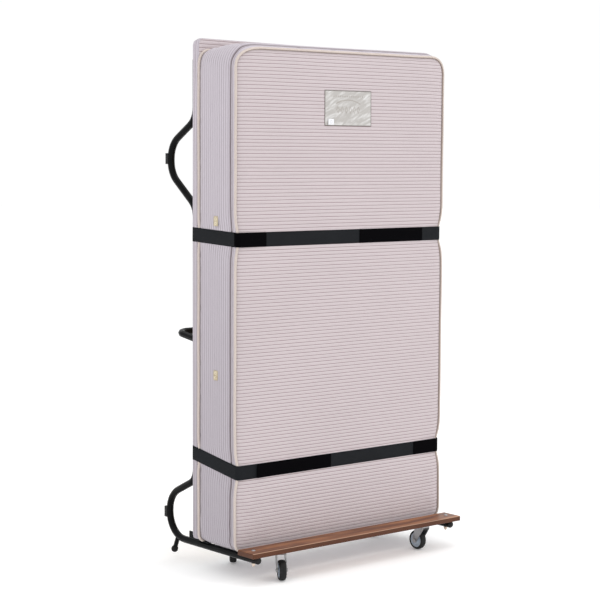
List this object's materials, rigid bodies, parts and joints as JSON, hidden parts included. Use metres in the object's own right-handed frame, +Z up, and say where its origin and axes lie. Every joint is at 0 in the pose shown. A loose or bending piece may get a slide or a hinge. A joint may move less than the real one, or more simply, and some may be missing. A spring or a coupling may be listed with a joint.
{
  "type": "folding cot",
  "caption": "Stand-up spare bed stored on end: mattress strapped to an upholstered base on a bent tube frame, with a plank headboard and swivel casters.",
  "frame": {"origin": "on the floor under the middle of the upright object", "axes": "+Z up; -Y out of the mattress face; +X to the right of someone facing the mattress face"},
  "size_m": [1.098, 0.6233, 2.058],
  "materials": {
    "ticking": "matte",
    "piping": "matte",
    "webbing": "matte",
    "satin_label": "satin",
    "card_tag": "matte",
    "vent_brass": "satin",
    "plywood": "matte",
    "walnut": "satin",
    "black_enamel": "gloss",
    "black_plastic": "matte",
    "rubber": "matte",
    "tyre": "matte",
    "hub_plastic": "satin",
    "zinc_steel": "satin",
    "copper_nut": "satin"
  },
  "bodies": {
    "frame": {"base_board": "plywood", "base_bracket_left": "black_enamel", "base_bracket_right": "black_enamel", "base_upholstery": "ticking", "caster_beam": "black_enamel", "caster_plate_front_left": "zinc_steel", "caster_plate_front_right": "zinc_steel", "caster_plate_rear_left": "zinc_steel", "caster_plate_rear_right": "zinc_steel", "crossbar_lower": "black_enamel", "crossbar_top": "black_enamel", "crossbar_upper": "black_enamel", "foot_pad_lower_left": "black_plastic", "foot_pad_lower_right": "black_plastic", "foot_pad_upper_left": "black_plastic", "foot_pad_upper_right": "black_plastic", "grip_hoop": "black_enamel", "headboard_plank": "walnut", "label": "satin_label", "label_tag": "card_tag", "mattress": "ticking", "peg_left": "black_enamel", "peg_right": "black_enamel", "peg_tip_left": "rubber", "peg_tip_right": "rubber", "piping_front": "piping", "piping_rear": "piping", "plank_bolt_left": "zinc_steel", "plank_bolt_right": "zinc_steel", "plank_nut_left": "copper_nut", "plank_nut_right": "copper_nut", "rail_cap_left": "black_plastic", "rail_cap_right": "black_plastic", "side_frame_left": "black_enamel", "side_frame_right": "black_enamel", "strap_lower": "webbing", "strap_lower_end": "webbing", "strap_lower_patch": "webbing", "strap_upper": "webbing", "strap_upper_end": "webbing", "strap_upper_patch": "webbing", "vent_plate_lower": "vent_brass", "vent_plate_upper": "vent_brass"},
    "fork_front_left": {"caster_fork_front_left": "zinc_steel", "caster_axle_front_left": "zinc_steel"},
    "wheel_front_left": {"caster_hub_front_left": "hub_plastic", "caster_tyre_front_left": "tyre"},
    "fork_front_right": {"caster_fork_front_right": "zinc_steel", "caster_axle_front_right": "zinc_steel"},
    "wheel_front_right": {"caster_hub_front_right": "hub_plastic", "caster_tyre_front_right": "tyre"},
    "fork_rear_left": {"caster_fork_rear_left": "zinc_steel", "caster_axle_rear_left": "zinc_steel"},
    "wheel_rear_left": {"caster_hub_rear_left": "hub_plastic", "caster_tyre_rear_left": "tyre"},
    "fork_rear_right": {"caster_fork_rear_right": "zinc_steel", "caster_axle_rear_right": "zinc_steel"},
    "wheel_rear_right": {"caster_hub_rear_right": "hub_plastic", "caster_tyre_rear_right": "tyre"}
  },
  "joints": [
    {"name": "swivel_front_left", "type": "hinge", "parent": "frame", "child": "fork_front_left", "pos_m": [-0.377, -0.24872, 0.1005], "axis": [0, 0, 1], "continuous": true},
    {"name": "spin_front_left", "type": "hinge", "parent": "fork_front_left", "child": "wheel_front_left", "pos_m": [-0.391, -0.27297, 0.04], "axis": [0.866, -0.5, 0], "continuous": true},
    {"name": "swivel_front_right", "type": "hinge", "parent": "frame", "child": "fork_front_right", "pos_m": [0.377, -0.24872, 0.1005], "axis": [0, 0, 1], "continuous": true},
    {"name": "spin_front_right", "type": "hinge", "parent": "fork_front_right", "child": "wheel_front_right", "pos_m": [0.377, -0.22072, 0.04], "axis": [-1, 0, 0], "continuous": true},
    {"name": "swivel_rear_left", "type": "hinge", "parent": "frame", "child": "fork_rear_left", "pos_m": [-0.377, 0.05028, 0.1005], "axis": [0, 0, 1], "continuous": true},
    {"name": "spin_rear_left", "type": "hinge", "parent": "fork_rear_left", "child": "wheel_rear_left", "pos_m": [-0.35938, 0.07204, 0.04], "axis": [-0.7771, 0.6293, 0], "continuous": true},
    {"name": "swivel_rear_right", "type": "hinge", "parent": "frame", "child": "fork_rear_right", "pos_m": [0.377, 0.05028, 0.1005], "axis": [0, 0, 1], "continuous": true},
    {"name": "spin_rear_right", "type": "hinge", "parent": "fork_rear_right", "child": "wheel_rear_right", "pos_m": [0.38377, 0.07745, 0.04], "axis": [-0.9703, 0.2419, 0], "continuous": true}
  ]
}
